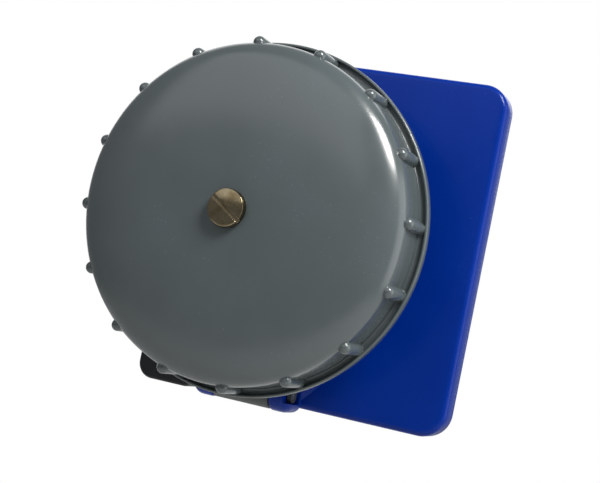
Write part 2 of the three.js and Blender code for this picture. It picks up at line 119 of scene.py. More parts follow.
def combine(piece, others, operation="UNION"):
    for other in others:
        modify(piece, "BOOLEAN", object=other, operation=operation, solver="EXACT")
        bpy.data.objects.remove(other)
    return piece


def carve(piece, others):
    return combine(piece, others, "DIFFERENCE")


def smooth(piece, angle=35):
    only(piece)
    bpy.ops.object.shade_smooth_by_angle(angle=radians(angle), keep_sharp_edges=False)
    return piece


def cuboid(name, low, high):
    # a cube primitive fitted between two corners given in mm
    deselectAll()
    low, high = Vector(low) * mm, Vector(high) * mm
    bpy.ops.mesh.primitive_cube_add(size=1, location=(low + high) / 2)
    piece = named(name)
    piece.scale = high - low
    return applyPlace(piece)


def onPlane(value, plane):
    return abs(value - plane) < 0.01


def pickEdges(piece, test):
    # leaves edit mode on with the edges selected whose two ends pass the test
    only(piece)
    bpy.ops.object.mode_set(mode="EDIT")
    bpy.ops.mesh.select_mode(type="EDGE")
    bpy.ops.mesh.select_all(action="DESELECT")
    bpy.ops.object.mode_set(mode="OBJECT")
    vertices = piece.data.vertices
    for edge in piece.data.edges:
        ends = [vertices[i].co / mm for i in edge.vertices]
        edge.select = test(*ends)
    bpy.ops.object.mode_set(mode="EDIT")


def pickFaces(piece, test):
    only(piece)
    bpy.ops.object.mode_set(mode="EDIT")
    bpy.ops.mesh.select_mode(type="FACE")
    bpy.ops.mesh.select_all(action="DESELECT")
    bpy.ops.object.mode_set(mode="OBJECT")
    for face in piece.data.polygons:
        face.select = test(face.center / mm, face.normal)
    bpy.ops.object.mode_set(mode="EDIT")


def leaveEdit():
    bpy.ops.object.mode_set(mode="OBJECT")


def moveCorner(piece, index, place):
    # moves one corner of an outline to its place in mm
    only(piece)
    bpy.ops.object.mode_set(mode="EDIT")
    bpy.ops.mesh.select_mode(type="VERT")
    bpy.ops.mesh.select_all(action="DESELECT")
    leaveEdit()
    corner = piece.data.vertices[index]
    corner.select = True
    step = Vector(place) * mm - corner.co
    bpy.ops.object.mode_set(mode="EDIT")
    bpy.ops.transform.translate(value=step)
    leaveEdit()


def bevelPicked(width, segments):
    bpy.ops.mesh.bevel(offset=width * mm, segments=segments, profile=0.5, affect="EDGES")
    leaveEdit()


def bevelAll(piece, width, segments=3, angle=40):
    return modify(
        piece, "BEVEL", width=width * mm, segments=segments, limit_method="ANGLE",
        angle_limit=radians(angle), harden_normals=False, use_clamp_overlap=True,
    )


def barAlong(name, axis, radius, start, end, centre, sides=64):
    # a cylinder primitive along X, Y or Z, through the other two coordinates of centre
    deselectAll()
    place = Vector(centre)
    place["XYZ".index(axis)] = (start + end) / 2
    turn = {"X": (0, pi / 2, 0), "Y": (pi / 2, 0, 0), "Z": (0, 0, 0)}[axis]
    bpy.ops.mesh.primitive_cylinder_add(
        vertices=sides, radius=radius * mm, depth=(end - start) * mm, location=place * mm, rotation=turn,
    )
    return applyPlace(named(name))


def turned(name, rings, sides, centre=(0, 0, 0), upright=False):
    # rings of (radius, height) grown from a circle by extrude and resize; height is counted from
    # centre towards the viewer (-Y), or up when upright. A closed list of rings makes a hollow piece.
    deselectAll()
    radius, height = rings[0]
    bpy.ops.mesh.primitive_circle_add(
        vertices=sides, radius=radius * mm, fill_type="NOTHING", location=(0, 0, height * mm))
    piece = applyPlace(named(name))
    bpy.ops.object.mode_set(mode="EDIT")
    bpy.ops.mesh.select_mode(type="EDGE")
    bpy.ops.mesh.select_all(action="SELECT")
    for newRadius, newHeight in rings[1:]:
        rise = (newHeight - height) * mm
        bpy.ops.mesh.extrude_region_move(TRANSFORM_OT_translate={"value": (0, 0, rise)})
        share = newRadius / radius
        bpy.ops.transform.resize(value=(share, share, 1), center_override=(0, 0, newHeight * mm))
        radius, height = newRadius, newHeight
    bpy.ops.mesh.select_all(action="SELECT")
    if rings[0] == rings[-1]:
        bpy.ops.mesh.remove_doubles(threshold=1e-6)
    else:
        bpy.ops.mesh.fill_holes(sides=0)
    bpy.ops.mesh.select_all(action="SELECT")
    bpy.ops.mesh.normals_make_consistent(inside=False)
    leaveEdit()
    piece.rotation_euler = (0 if upright else pi / 2, 0, 0)
    piece.location = Vector(centre) * mm
    return applyPlace(piece)


class Flow:
    # a number flowing through a material; the usual operators add Math nodes
    def __init__(self, owner, link):
        self.owner = owner
        self.link = link

    def maths(self, operation, first, second):
        return self.owner.node("ShaderNodeMath", {"operation": operation}, {0: first, 1: second})

    def __add__(self, other):
        return self.maths("ADD", self, other)

    def __radd__(self, other):
        return self.maths("ADD", other, self)

    def __mul__(self, other):
        return self.maths("MULTIPLY", self, other)

    def __rmul__(self, other):
        return self.maths("MULTIPLY", other, self)


class NodeTree:
    # node() adds any node: its type, its settings, the values or links of its sockets
    def __init__(self, tree):
        self.tree = tree

    def node(self, kind, settings, inputs, output=0):
        made = self.tree.nodes.new(kind)
        for key, value in settings.items():
            setattr(made, key, value)
        for key, value in inputs.items():
            self.feed(made.inputs[key], value)
        return Flow(self, made.outputs[output])

    def feed(self, socket, value):
        if isinstance(value, Flow):
            self.tree.links.new(value.link, socket)
        elif isinstance(value, tuple) and len(value) == 3 and socket.type == "RGBA":
            socket.default_value = (*value, 1)
        else:
            socket.default_value = value


class Paint(NodeTree):
    def __init__(self, name):
        self.material = bpy.data.materials.new(name)
        self.material.use_nodes = True
        super().__init__(self.material.node_tree)
        self.shader = self.tree.nodes["Principled BSDF"]
        self.place = self.node("ShaderNodeTexCoord", {}, {}, "Object")

    def noise(self, size, detail=3.0, roughness=0.5):
        # size is the width of one lump in mm
        return self.node("ShaderNodeTexNoise", {}, {
            "Vector": self.place, "Scale": 1 / (size * mm), "Detail": detail, "Roughness": roughness})

    def spread(self, value, low, high, start, end):
        # carries a value from low..high over to start..end, held at the ends
        return self.node("ShaderNodeMapRange", {}, {
            "Value": value, "From Min": low, "From Max": high, "To Min": start, "To Max": end})

    def blend(self, share, first, second):
        return self.node("ShaderNodeMix", {"data_type": "RGBA"}, {
            0: share, 6: first, 7: second}, 2)

    def bump(self, height, strength, distance, rounding=0.0):
        inputs = {"Height": height, "Strength": strength, "Distance": distance * mm}
        if rounding:
            inputs["Normal"] = self.node("ShaderNodeBevel", {"samples": 6}, {"Radius": rounding * mm})
        return self.node("ShaderNodeBump", {}, inputs)

    def finish(self, **sockets):
        for key, value in sockets.items():
            self.feed(self.shader.inputs[key.replace("_", " ")], value)
        return self.material


def glossPaint(name, colour, deep, roughness, peel=0.05, rounding=0.5, specular=0.5):
    # sprayed or stoved paint: faint orange peel, a little cloudiness and fine dust specks
    paint = Paint(name)
    cloud = paint.noise(28, 4)
    fine = paint.noise(1.6, 2)
    specks = paint.spread(paint.noise(0.9, 1), 0.70, 0.76, 0, 1)
    tone = paint.blend(paint.spread(cloud, 0.3, 0.7, 0, 1), deep, colour)
    dusty = paint.blend(specks * 0.012, tone, (0.35, 0.36, 0.36))
    rough = paint.spread(cloud, 0.3, 0.7, roughness - 0.03, roughness + 0.04) + specks * 0.03
    return paint.finish(
        Base_Color=dusty, Roughness=rough, Normal=paint.bump(fine, peel, 0.06, rounding),
        Specular_IOR_Level=specular)


def moulded(name, colour, roughness, grain=0.35, rounding=0.35):
    # injection moulding with a fine spark-eroded grain
    paint = Paint(name)
    cloud = paint.noise(14, 3)
    pits = paint.noise(0.35, 2, 0.6)
    deep = tuple(c * 0.86 for c in colour)
    tone = paint.blend(paint.spread(cloud, 0.3, 0.7, 0, 1), deep, colour)
    rough = paint.spread(pits, 0.3, 0.7, roughness - 0.06, roughness + 0.08)
    return paint.finish(Base_Color=tone, Roughness=rough,
                        Normal=paint.bump(pits, grain, 0.05, rounding), Specular_IOR_Level=0.3)


def bareMetal(name, colour, roughness, stain, stretch=(1, 12, 1), rounding=0.15):
    # plated or bare metal: drawn scratches one way, faint stains
    paint = Paint(name)
    along = paint.node("ShaderNodeMapping", {}, {"Vector": paint.place, "Scale": stretch})
    lines = paint.node("ShaderNodeTexNoise", {}, {
        "Vector": along, "Scale": 900.0, "Detail": 3.0, "Roughness": 0.6})
    patch = paint.noise(5, 4)
    tone = paint.blend(paint.spread(patch, 0.42, 0.68, 0, 1), colour, stain)
    rough = paint.spread(lines, 0.3, 0.7, roughness - 0.06, roughness + 0.1)
    rough = rough + paint.spread(patch, 0.45, 0.7, 0, 0.08)
    return paint.finish(Base_Color=tone, Roughness=rough, Metallic=1.0,
                        Normal=paint.bump(lines, 0.12, 0.02, rounding))


finishes = {
    "gongPaint": glossPaint("gongPaint", (0.049, 0.060, 0.064), (0.044, 0.054, 0.055), 0.23, 0.03, 0.7),
    "platePaint": glossPaint("platePaint", (0.0, 0.015, 0.155), (0.0, 0.013, 0.142), 0.24, 0.04, 0.4, 0.11),
    "housingGrey": moulded("housingGrey", (0.046, 0.051, 0.050), 0.5),
    "blackMoulding": moulded("blackMoulding", (0.004, 0.005, 0.007), 0.40, 0.2),
    # painted reflection: the nickel's dark brown colour and stain colour stand in for dark surroundings
    # mirrored in the screw head, far darker than bare nickel
    "nickel": bareMetal("nickel", (0.20, 0.165, 0.105), 0.14, (0.13, 0.10, 0.055), rounding=0.3),
    "zincSteel": bareMetal("zincSteel", (0.62, 0.63, 0.62), 0.3, (0.5, 0.49, 0.45)),
    "brass": bareMetal("brass", (0.70, 0.49, 0.20), 0.26, (0.52, 0.34, 0.14)),
    "softIron": bareMetal("softIron", (0.30, 0.30, 0.31), 0.4, (0.2, 0.19, 0.18)),
    "winding": bareMetal("winding", (0.50, 0.16, 0.05), 0.3, (0.40, 0.12, 0.04)),
    "nylon": moulded("nylon", (0.66, 0.62, 0.50), 0.45, 0.15),
    "rubber": moulded("rubber", (0.012, 0.012, 0.012), 0.75, 0.5),
    "boardGreen": moulded("boardGreen", (0.01, 0.09, 0.03), 0.35, 0.1, 0.1),
    "sleeve": moulded("sleeve", (0.02, 0.03, 0.08), 0.3, 0.1, 0.4),
    "terminalWhite": moulded("terminalWhite", (0.6, 0.6, 0.56), 0.45, 0.15),
}
print("materials:", len(finishes))


def dress(piece, finish):
    piece.data.materials.clear()
    piece.data.materials.append(finishes[finish])
    return piece


# the record's slot of each finish
slotNames = {
    "gongPaint": "gong_paint", "platePaint": "plate_paint", "housingGrey": "housing_grey",
    "blackMoulding": "black_moulding", "nickel": "nickel", "zincSteel": "zinc_steel", "brass": "brass",
    "softIron": "soft_iron", "winding": "winding_enamel", "nylon": "natural_nylon", "rubber": "rubber",
    "boardGreen": "board_green", "sleeve": "capacitor_sleeve", "terminalWhite": "terminal_white",
}
bodyOfNode = {node: body for body, nodes in frame["record"]["behaviour"]["bodies"].items() for node in nodes}


def standIn(piece, finish, *nodes):
    # a finished piece takes the place of its CAD nodes, on the same body
    dress(piece, finish)
    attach(piece, bodyOfNode[nodes[0]])
    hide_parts(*nodes)
    return piece


cameraView = {
    "place": (0.23204, -0.57700, -0.03360),   # metres
    "azimuth": 21.60, "climb": 2.74, "roll": 11.63,   # degrees
    "lens": 83.08,   # mm on a 36 mm sensor
}
studio = {
    "floorSize": 1.6, "floorDrop": 0.28, "floorLumps": 60,
    "floorDeep": (0.60, 0.60, 0.59), "floorPale": (0.64, 0.64, 0.63), "floorRoughness": 0.7,
    "skyForCamera": (1.0, 1.0, 1.0), "skyLight": (0.30, 0.31, 0.32),
    "lampAim": (0, -0.04, 0),
}
lamps = {
    # name: place, size, watts, colour
    "keyStrip": ((0.58, -0.46, 0.70), (0.34, 0.36), 20, (1.0, 0.99, 0.97)),
    "sideFill": ((1.2, 0.10, 0.15), (1.2, 1.2), 11, (0.97, 0.98, 1.0)),
    "topSoftbox": ((-0.45, -1.15, 0.85), (1.5, 1.1), 7, (0.97, 0.98, 1.0)),
    "behindFill": ((-0.5, 1.0, 0.5), (1.6, 1.6), 11, (1.0, 1.0, 1.0)),
}


def buildCamera():
    deselectAll()
    bpy.ops.object.camera_add(location=cameraView["place"])
    camera = named("mainCamera")
    camera.data.lens = cameraView["lens"]
    camera.data.sensor_width = 36
    camera.data.clip_start = 0.01
    turn = Matrix.Rotation(radians(cameraView["azimuth"]), 4, "Z")
    tip = Matrix.Rotation(radians(90 + cameraView["climb"]), 4, "X")
    roll = Matrix.Rotation(radians(cameraView["roll"]), 4, "Z")
    camera.rotation_euler = (turn @ tip @ roll).to_euler()
    bpy.context.scene.camera = camera


def buildSky():
    # the camera sees a plain white, the pieces are lit by a softer one
    world = bpy.data.worlds.new("studio")
    bpy.context.scene.world = world
    world.use_nodes = True
    sky = NodeTree(world.node_tree)
    seen = sky.node("ShaderNodeBackground", {}, {"Color": studio["skyForCamera"]})
    lit = sky.node("ShaderNodeBackground", {}, {"Color": studio["skyLight"]})
    cameraRay = sky.node("ShaderNodeLightPath", {}, {}, "Is Camera Ray")
    mix = sky.node("ShaderNodeMixShader", {}, {0: cameraRay, 1: lit, 2: seen})
    sky.feed(sky.tree.nodes["World Output"].inputs["Surface"], mix)


def buildLamps():
    for name, (place, size, watts, colour) in lamps.items():
        deselectAll()
        aim = (Vector(studio["lampAim"]) - Vector(place)).to_track_quat("-Z", "Y").to_euler()
        bpy.ops.object.light_add(type="AREA", location=place, rotation=aim)
        lamp = bpy.context.object
        lamp.name = name
        lamp.data.shape = "RECTANGLE"
        lamp.data.size, lamp.data.size_y = size
        lamp.data.energy = watts
        lamp.data.color = colour


def buildFloor():
    deselectAll()
    floorZ = cadLow.z - studio["floorDrop"]
    bpy.ops.mesh.primitive_plane_add(size=studio["floorSize"], location=(0, 0, floorZ))
    floor = named("floor")
    paint = Paint("floorPale")
    tone = paint.blend(paint.noise(studio["floorLumps"], 3), studio["floorDeep"], studio["floorPale"])
    paint.finish(Base_Color=tone, Roughness=studio["floorRoughness"])
    floor.data.materials.append(paint.material)


buildCamera()
buildSky()
buildLamps()
buildFloor()
bpy.context.scene.view_settings.view_transform = "Standard"
print("camera and studio ready")


gongPlane = round(cadBox("gong")[1].y, 3)   # the gong's back face
hingeLine = cadMiddle("hinge_pin")
coilLine = cadMiddle("bobbin")

gong = {
    "sides": 192,
    "flangeRadius": 75.0, "wall": 71.0, "inside": 67.5, "footLand": 0.5,
    "rise": 31.5, "shoulder": 17.0, "skin": 3.5, "wallRings": (6, 10, 14),
    "flangeThickness": 2.5, "lipHeight": 4.0, "lipWidth": 1.4, "lipRound": 0.5,
    "lipFillet": 0.6, "wallFillet": 0.8,
    "domeSteps": 44, "domePower": 3, "domeFall": 0.35,
    "hole": 4.2, "holeChamfer": 0.4, "holeLand": 0.5,
    "ribs": 16, "ribPhase": 6.0, "ribSides": 28, "ribRings": 18,
    "ribRadius": 2.7, "ribMiddle": 71.2, "ribFront": 18.4, "ribBack": 1.2,
}


def domeRings(wall, foot, rise):
    # from the wall in to the middle: flat at the centre, falling ever faster outwards
    rings = []
    for step in range(gong["domeSteps"]):
        radius = wall * cos(step / gong["domeSteps"] * pi / 2)
        share = (1 - (radius / wall) ** gong["domePower"]) ** gong["domeFall"]
        rings.append((radius, foot + (rise - foot) * share))
    return rings


def arcRings(centreRadius, centreHeight, bend, start, end, steps):
    # part of a round edge, its angles in degrees from outwards towards the front
    angles = [radians(start + (end - start) * i / steps) for i in range(steps + 1)]
    return [(centreRadius + bend * cos(a), centreHeight + bend * sin(a)) for a in angles]


def gongRings():
    g = gong
    outer, wall, inside, floor = g["flangeRadius"], g["wall"], g["inside"], g["flangeThickness"]
    rise, skin, hole = g["rise"], g["skin"], g["hole"]
    lipBend = g["lipWidth"] / 2
    lipMiddle = outer - lipBend
    # flange, lip and the channel in front of the wall
    rings = [(inside, 0), (inside + g["footLand"], 0)]
    rings += arcRings(outer - g["lipRound"], g["lipRound"], g["lipRound"], -90, 0, 4)
    rings += arcRings(lipMiddle, g["lipHeight"] - lipBend, lipBend, 0, 180, 8)
    rings += arcRings(lipMiddle - lipBend - g["lipFillet"], floor + g["lipFillet"], g["lipFillet"], 0, -90, 4)
    rings += [(wall + g["wallFillet"], floor)]
    rings += arcRings(wall + g["wallFillet"], floor + g["wallFillet"], g["wallFillet"], -90, -180, 4)
    rings += [(wall, height) for height in g["wallRings"]]
    # over the dome to the hole, and back along the inside
    rings += domeRings(wall, g["shoulder"], rise)
    rings += [(hole + g["holeChamfer"], rise), (hole, rise - g["holeChamfer"]), (hole, rise - skin)]
    lining = domeRings(inside, g["shoulder"] - skin, rise - skin)
    rings += [ring for ring in reversed(lining) if ring[0] > hole + g["holeLand"]]
    rings += [(inside, g["wallRings"][0]), (inside, 0)]
    return rings


def gongRib():
    # a ball whose back half is drawn out towards the flange
    g = gong
    ballY = gongPlane - g["ribFront"]
    deselectAll()
    bpy.ops.mesh.primitive_uv_sphere_add(
        segments=g["ribSides"], ring_count=g["ribRings"], radius=g["ribRadius"] * mm, rotation=(pi / 2, 0, 0),
        location=(g["ribMiddle"] * mm, ballY * mm, 0))
    rib = applyPlace(named("gongRib"))
    drawnOut = g["ribFront"] - g["ribBack"] - g["ribRadius"]
    pickFaces(rib, lambda centre, normal: centre.y > ballY)
    bpy.ops.transform.translate(value=(0, drawnOut * mm, 0))
    leaveEdit()
    return rib


def buildGong():
    g = gong
    bell = turned("gongBell", gongRings(), g["sides"], (0, gongPlane, 0))
    rib = gongRib()
    ribs = []
    for i in range(g["ribs"]):
        only(rib)
        bpy.ops.object.duplicate(linked=False)
        copy = bpy.context.object
        # a positive turn about Y takes +X towards -Z, so the angle is negative
        copy.rotation_euler = (0, -radians(g["ribPhase"] + 360 / g["ribs"] * i), 0)
        ribs.append(applyPlace(copy))
    bpy.data.objects.remove(rib)
    combine(bell, ribs)
    standIn(smooth(bell, 32), "gongPaint", "gong")


buildGong()
print("gong done")


plate = {
    "corner": 11.0, "edge": 2.5, "backEdge": 0.5, "thickness": 12.0, "recess": 3.5, "rim": 3.0,
    "fixingInset": 14.0, "fixingBoss": 6.2, "fixingHole": 4.5, "fixingDepth": 8.5,
    "column": 10.0, "bossDepth": 6.0, "wireHole": 5.0, "wirePlace": (-39, 0, -63),
}
lugs = {
    "radius": 7.5, "inner": 13.6, "outer": 23.8, "outerRound": 5.0, "innerRound": 1.2, "footRound": 1.0,
    "sunk": 1.0, "pinRoom": 1.8, "pinSpan": (-28, 25), "barrelRoom": 7.8, "barrelHalf": 13.8,
    "notchStart": 20.2, "notchBack": -14.0, "notchFloor": -74.1, "notchRound": 0.9, "notchReach": 12.0,
}
web = {
    # the slab behind the lugs, its rim as X and Z
    "rim": ((-22, -73.3), (22.8, -73.3), (30.5, -64.5), (40, -50), (40, -38), (-22, -38)),
    "sunk": 0.5, "rise": 2.5, "slope": 4.0,
}


def hingeLug(side, front):
    # a round knuckle on a neck, with a notch at its outer end for the drum's ear
    g = lugs
    inner, outer, start = side * g["inner"], side * g["outer"], side * g["notchStart"]
    left, right = sorted((inner, outer))
    foot = hingeLine.z - g["radius"]
    rounds = ((outer, g["outerRound"], 9), (inner, g["innerRound"], 4))

    lug = barAlong("hingeLug", "X", g["radius"], left, right, hingeLine, 72)
    for x, width, segments in rounds:
        pickEdges(lug, lambda a, b: onPlane(a.x, x) and onPlane(b.x, x))
        bevelPicked(width, segments)
    neck = cuboid("neck", (left, hingeLine.y, foot), (right, front + g["sunk"], hingeLine.z + g["radius"]))
    for x, width, segments in rounds:
        pickEdges(neck, lambda a, b: abs(a.y - b.y) > 1 and onPlane(a.x, x))
        bevelPicked(width, segments)
    pickEdges(neck, lambda a, b: onPlane(max(a.z, b.z), foot) and min(a.y, b.y) > front + g["sunk"] - 0.1)
    bevelPicked(g["footRound"], 3)

    left, right = sorted((start, outer + side))
    notch = cuboid("notch", (left, hingeLine.y - g["notchReach"], g["notchFloor"]),
                   (right, g["notchBack"], hingeLine.z + g["notchReach"]))
    pickEdges(notch, lambda a, b: onPlane(a.x, start) and onPlane(b.x, start)
              and onPlane(max(a.z, b.z), g["notchFloor"]))
    bevelPicked(g["notchRound"], 4)
    pin = barAlong("pinRoom", "X", g["pinRoom"], *g["pinSpan"], hingeLine, 32)
    return carve(combine(lug, [neck]), [notch, pin])


def hingeWeb(front):
    # a slab whose front face is drawn in for the sloping sides
    deselectAll()
    bpy.ops.mesh.primitive_circle_add(
        vertices=len(web["rim"]), radius=10 * mm, fill_type="NGON", rotation=(pi / 2, 0, 0))
    slab = applyPlace(named("hingeWeb"))
    for index, (x, z) in enumerate(web["rim"]):
        moveCorner(slab, index, (x, front + web["sunk"], z))
    pickFaces(slab, lambda centre, normal: True)
    bpy.ops.mesh.extrude_region_move(TRANSFORM_OT_translate={"value": (0, -web["sunk"] * mm, 0)})
    leaveEdit()
    pickFaces(slab, lambda centre, normal: abs(normal.y) > 0.9 and onPlane(centre.y, front))
    bpy.ops.mesh.inset(thickness=web["slope"] * mm)
    bpy.ops.transform.translate(value=(0, -web["rise"] * mm, 0))
    bpy.ops.mesh.select_all(action="SELECT")
    bpy.ops.mesh.normals_make_consistent(inside=False)
    leaveEdit()
    return slab


def buildPlate():
    p = plate
    low, high = cadBox("backplate")
    front, top = -p["thickness"], high.z
    body = cuboid("wallPlate", (low.x, front, -top), (high.x, 0, top))
    pickEdges(body, lambda a, b: abs(a.y - b.y) > 5)
    bevelPicked(p["corner"], 14)
    pickEdges(body, lambda a, b: onPlane(max(a.y, b.y), front))
    bevelPicked(p["edge"], 7)
    pickEdges(body, lambda a, b: onPlane(min(a.y, b.y), 0))
    bevelPicked(p["backEdge"], 3)
    pickFaces(body, lambda centre, normal: normal.y > 0.9 and onPlane(centre.y, 0))
    bpy.ops.mesh.inset(thickness=(p["rim"] - p["backEdge"]) * mm)
    bpy.ops.mesh.extrude_region_move(TRANSFORM_OT_translate={"value": (0, -p["recess"] * mm, 0)})
    leaveEdit()
    combine(body, [hingeLug(-1, front), hingeLug(1, front), hingeWeb(front)])

    bosses, holes = [], []
    for x in (low.x + p["fixingInset"], high.x - p["fixingInset"]):
        for z in (p["fixingInset"] - top, top - p["fixingInset"]):
            bosses.append(barAlong("boss", "Y", p["fixingBoss"], -p["bossDepth"], 0, (x, 0, z)))
            holes.append(barAlong("bossHole", "Y", p["fixingHole"], -p["fixingDepth"], 1, (x, 0, z)))
    bosses.append(barAlong("column", "Y", p["column"], -p["bossDepth"], 0, (0, 0, 0)))
    combine(body, bosses)
    half = lugs["barrelHalf"]
    holes.append(barAlong("barrelRoom", "X", lugs["barrelRoom"], -half, half, hingeLine))
    holes.append(barAlong("wireHole", "Y", p["wireHole"], front - 2, front + 4, p["wirePlace"], 48))
    carve(body, holes)
    standIn(smooth(body, 32), "platePaint", "backplate")


buildPlate()
print("wall plate done")


screws = {
    # node: head radius, head height, shank radius, shank length, slot width, slot depth, slot angle, finish
    "gong_screw": (8.0, 3.4, 3.8, 18.0, 1.6, 1.3, 34, "nickel"),
    "lid_screw_1": (2.3, 1.3, 1.1, 8.0, 0.7, 0.6, 20, "zincSteel"),
    "lid_screw_2": (2.3, 1.3, 1.1, 8.0, 0.7, 0.6, -55, "zincSteel"),
    "terminal_screw_1": (1.6, 1.4, 0.9, 1.0, 0.6, 0.6, 80, "brass"),
    "terminal_screw_2": (1.6, 1.4, 0.9, 1.0, 0.6, 0.6, 10, "brass"),
    "terminal_screw_3": (1.6, 1.4, 0.9, 1.0, 0.6, 0.6, 45, "brass"),
    "frame_screw_1": (2.7, 1.6, 1.3, 8.0, 0.7, 0.7, 65, "zincSteel"),
    "frame_screw_2": (2.7, 1.6, 1.3, 8.0, 0.7, 0.7, 5, "zincSteel"),
    "board_screw_1": (2.4, 1.4, 1.0, 4.0, 0.6, 0.6, 30, "zincSteel"),
    "board_screw_2": (2.4, 1.4, 1.0, 4.0, 0.6, 0.6, -15, "zincSteel"),
    "cover_screw_1": (3.2, 1.3, 1.5, 6.0, 0.8, 0.6, 40, "zincSteel"),
    "cover_screw_2": (3.2, 1.3, 1.5, 6.0, 0.8, 0.6, -20, "zincSteel"),
    "cover_screw_3": (3.2, 1.3, 1.5, 6.0, 0.8, 0.6, 75, "zincSteel"),
    "cover_screw_4": (3.2, 1.3, 1.5, 6.0, 0.8, 0.6, 12, "zincSteel"),
}
# chamfer and under are shares of the head's radius, softening is a share of the chamfer
screwShape = {"chamfer": 0.14, "under": 0.03, "softening": 0.3, "point": (0.25, 0.4), "sides": 72}


def buildScrew(node):
    headRadius, rise, shankRadius, shankLength, slotWidth, slotDepth, angle, finish = screws[node]
    low, high = cadBox(node)
    middle = (low + high) / 2
    edge = screwShape["chamfer"] * headRadius
    under = screwShape["under"] * headRadius
    soft = edge * screwShape["softening"]
    pointDraw, pointRise = screwShape["point"]
    rings = [
        (shankRadius - pointDraw, -shankLength), (shankRadius, -shankLength + pointRise), (shankRadius, 0),
        (headRadius - under, 0), (headRadius, under), (headRadius, rise - edge),
        (headRadius - soft, rise - soft), (headRadius - edge, rise),
    ]
    screw = turned(node + "Shape", rings, screwShape["sides"])
    half = slotWidth / 2
    slot = cuboid("slot", (-headRadius - 1, -rise - 1, -half), (headRadius + 1, slotDepth - rise, half))
    slot.rotation_euler = (0, radians(angle), 0)
    carve(screw, [applyPlace(slot)])
    # the rear cover's screws are driven from the wall side
    backwards = node.startswith("cover")
    screw.rotation_euler = (0, 0, pi if backwards else 0)
    seat = high.y - rise if backwards else low.y + rise
    screw.location = (middle.x * mm, seat * mm, middle.z * mm)
    applyPlace(screw)
    standIn(smooth(screw, 30), finish, node)


for node in screws:
    buildScrew(node)
print("screws done:", len(screws))


terminalBox = {
    "corner": 7.0, "corners": 2.5, "wall": 2.0, "lidEdge": 1.1, "screwRoom": 1.4, "screwFloor": 2.0,
    "boss": 2.6, "bossInset": 3.6,
}


def boxSlab(name, low, high, shrink=0.0):
    # one large round corner at the lower left and three small ones
    t = terminalBox
    inset = Vector((shrink, 0, shrink))
    slab = cuboid(name, low + inset, high - inset)
    left, foot = low.x + shrink, low.z + shrink
    right, top = high.x - shrink, high.z - shrink

    def small(corner):
        return corner.x > right - 0.1 or corner.z > top - 0.1

    pickEdges(slab, lambda a, b: abs(a.y - b.y) > 0.5 and a.x < left + 0.1 and a.z < foot + 0.1)
    bevelPicked(t["corner"] - shrink, 12)
    pickEdges(slab, lambda a, b: abs(a.y - b.y) > 0.5 and small(a) and small(b))
    bevelPicked(t["corners"] - shrink, 5)
    return slab


def buildTerminalBox():
    t = terminalBox
    low, high = cadBox("terminal_box")
    shell = boxSlab("terminalBoxShell", low, high)
    room = boxSlab("terminalBoxRoom", low - Vector((0, 1, 0)), high + Vector((0, 1, 0)), t["wall"])
    carve(shell, [room])
    screwPlaces = [(x, 0, high.z - t["bossInset"]) for x in (low.x + t["bossInset"], high.x - t["bossInset"])]
    combine(shell, [barAlong("boss", "Y", t["boss"], low.y, high.y, place, 40) for place in screwPlaces])
    carve(shell, [barAlong("hole", "Y", t["screwRoom"], low.y - 1, high.y - t["screwFloor"], place, 32)
                  for place in screwPlaces])
    standIn(smooth(shell, 32), "blackMoulding", "terminal_box")

    low, high = cadBox("terminal_box_lid")
    lid = boxSlab("terminalBoxLid", low, high)
    pickEdges(lid, lambda a, b: onPlane(max(a.y, b.y), low.y))
    bevelPicked(t["lidEdge"], 5)
    carve(lid, [barAlong("hole", "Y", t["screwRoom"], low.y - 1, high.y + 1, place, 32)
                for place in screwPlaces])
    standIn(smooth(lid, 32), "blackMoulding", "terminal_box_lid")


buildTerminalBox()
print("terminal box done")


# front, back, floor and bossTop count from the gong's back face, negative towards the wall
housing = {
    "radius": 52.0, "wall": 2.5, "front": -2.0, "back": -27.0, "floor": -24.5,
    "edge": 1.2, "rimRound": 0.4, "floorChamfer": 1.5, "sides": 160, "sunk": 1.0,
    "bossRadius": 9.0, "bossTop": -18.0, "bossFoot": 0.6, "bossEdge": 0.4, "postRoom": 3.5,
    "armHalf": 13.2, "armDepth": 5.0, "armRound": 1.2, "armSunk": 1.5,
    "barrel": 7.2, "barrelEdge": 0.6, "bushRoom": 3.1, "bushSpan": 15, "pinRoom": 1.8, "pinSpan": 26,
    "ear": 2.8, "earMiddle": 21.55, "earHalf": 1.05, "earSunk": 7.0,
    # tops and spans from here on are the frame's own Y
    "pillar": 3.2, "pillarTop": -35.7, "pillarXs": (-7, 7), "pillarZs": (20, 36),
    "boardPillar": 3.0, "boardTop": -24.7, "boardScrewRoom": 1.2,
    "standTop": -31.0, "standRoom": (2, 1), "standScrewRoom": 1.3, "standScrewSpan": (-32, -23),
    "wireRoom": 5.0, "wirePlace": (-30, 0, -28),
    "floorRibs": (100, 165, 220, 320, 350), "ribHalf": 0.7, "ribRise": 2.4,
}


def housingRings():
    h = housing
    wallInside, edge, rim = h["radius"] - h["wall"], h["edge"], h["rimRound"]
    rings = [(h["postRoom"], h["back"])]
    rings += arcRings(h["radius"] - edge, h["back"] + edge, edge, -90, 0, 4)
    rings += arcRings(h["radius"] - rim, h["front"] - rim, rim, 0, 90, 3)
    rings += arcRings(wallInside + rim, h["front"] - rim, rim, 90, 180, 3)
    rings += [(wallInside, h["floor"] + h["floorChamfer"]), (wallInside - h["floorChamfer"], h["floor"])]
    rings += [(h["bossRadius"] + h["bossFoot"], h["floor"]), (h["bossRadius"], h["floor"] + h["bossFoot"])]
    rings += [(h["bossRadius"], h["bossTop"] - h["bossEdge"])]
    rings += [(h["bossRadius"] - h["bossEdge"], h["bossTop"])]
    rings += [(h["postRoom"], h["bossTop"]), (h["postRoom"], h["back"])]
    return rings


